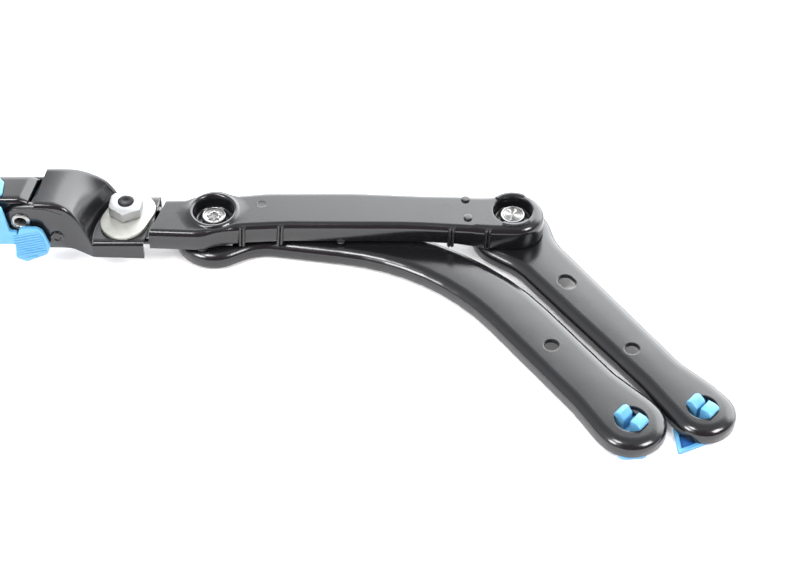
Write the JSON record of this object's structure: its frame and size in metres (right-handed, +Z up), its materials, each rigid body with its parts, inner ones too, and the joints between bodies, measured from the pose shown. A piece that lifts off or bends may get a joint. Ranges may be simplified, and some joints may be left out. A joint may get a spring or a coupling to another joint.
{
  "type": "gate opener arm",
  "caption": "Folding arm of pressed black steel: mounting foot, tail channel, clamped saddle and tongue, and a channel with riveted dog-leg links in transport clips.",
  "frame": {"origin": "centre of the foot's two bolt holes, on the foot's lower face", "axes": "+X along the arm from the foot towards the links, +Z up along the link pivots"},
  "size_m": [0.4614, 0.1677, 0.0456],
  "materials": {
    "black_coat": "satin black e-coat over pressed steel",
    "zinc_plate": "bright zinc plating",
    "pin_steel": "turned steel, lightly oiled",
    "raw_steel": "plain steel",
    "dark_steel": "phosphated steel",
    "bush_brass": "sintered bearing bronze",
    "blue_plastic": "moulded blue plastic"
  },
  "bodies": {
    "foot": {"foot_bracket": "black_coat", "foot_rivets": "black_coat", "tail_channel": "black_coat", "tail_bushes": "bush_brass"},
    "tail_clip": {"tail_clip": "blue_plastic"},
    "saddle": {"saddle_bracket": "black_coat", "fold_pin": "pin_steel", "stop_pin": "black_coat", "clamp_stud": "dark_steel", "clamp_washer": "zinc_plate", "clamp_nut": "zinc_plate"},
    "arm": {"tongue_bar": "raw_steel", "channel_arm": "black_coat", "channel_insert": "dark_steel", "locating_rivets": "black_coat", "front_pivot_rivet": "pin_steel", "front_pivot_washer": "zinc_plate", "front_rivet_collar": "raw_steel", "rear_pivot_rivet": "pin_steel", "rear_pivot_washer": "zinc_plate", "rear_rivet_collar": "raw_steel"},
    "front_link": {"front_link": "black_coat", "front_pivot_bush": "bush_brass", "front_link_clip": "blue_plastic"},
    "rear_link": {"rear_link": "black_coat", "rear_pivot_bush": "bush_brass", "rear_link_clip": "blue_plastic"}
  },
  "joints": [
    {"name": "tail_fold", "type": "hinge", "parent": "foot", "child": "saddle", "pos_m": [0.0967, 0, 0.034], "axis": [0, 1, 0], "range_deg": [0, 60]},
    {"name": "clip_slide", "type": "slide", "parent": "foot", "child": "tail_clip", "axis": [-1, 0, 0], "range_m": [0, 0.012]},
    {"name": "clamp_slide", "type": "slide", "parent": "saddle", "child": "arm", "axis": [1, 0, 0], "range_m": [0, 0.006]},
    {"name": "front_link_swing", "type": "hinge", "parent": "arm", "child": "front_link", "pos_m": [0.19, 0.005, 0.009], "axis": [0, 0, 1], "range_deg": [-70, 0]},
    {"name": "rear_link_swing", "type": "hinge", "parent": "arm", "child": "rear_link", "pos_m": [0.34, 0.0055, 0.009], "axis": [0, 0, 1], "range_deg": [0, 95]}
  ]
}
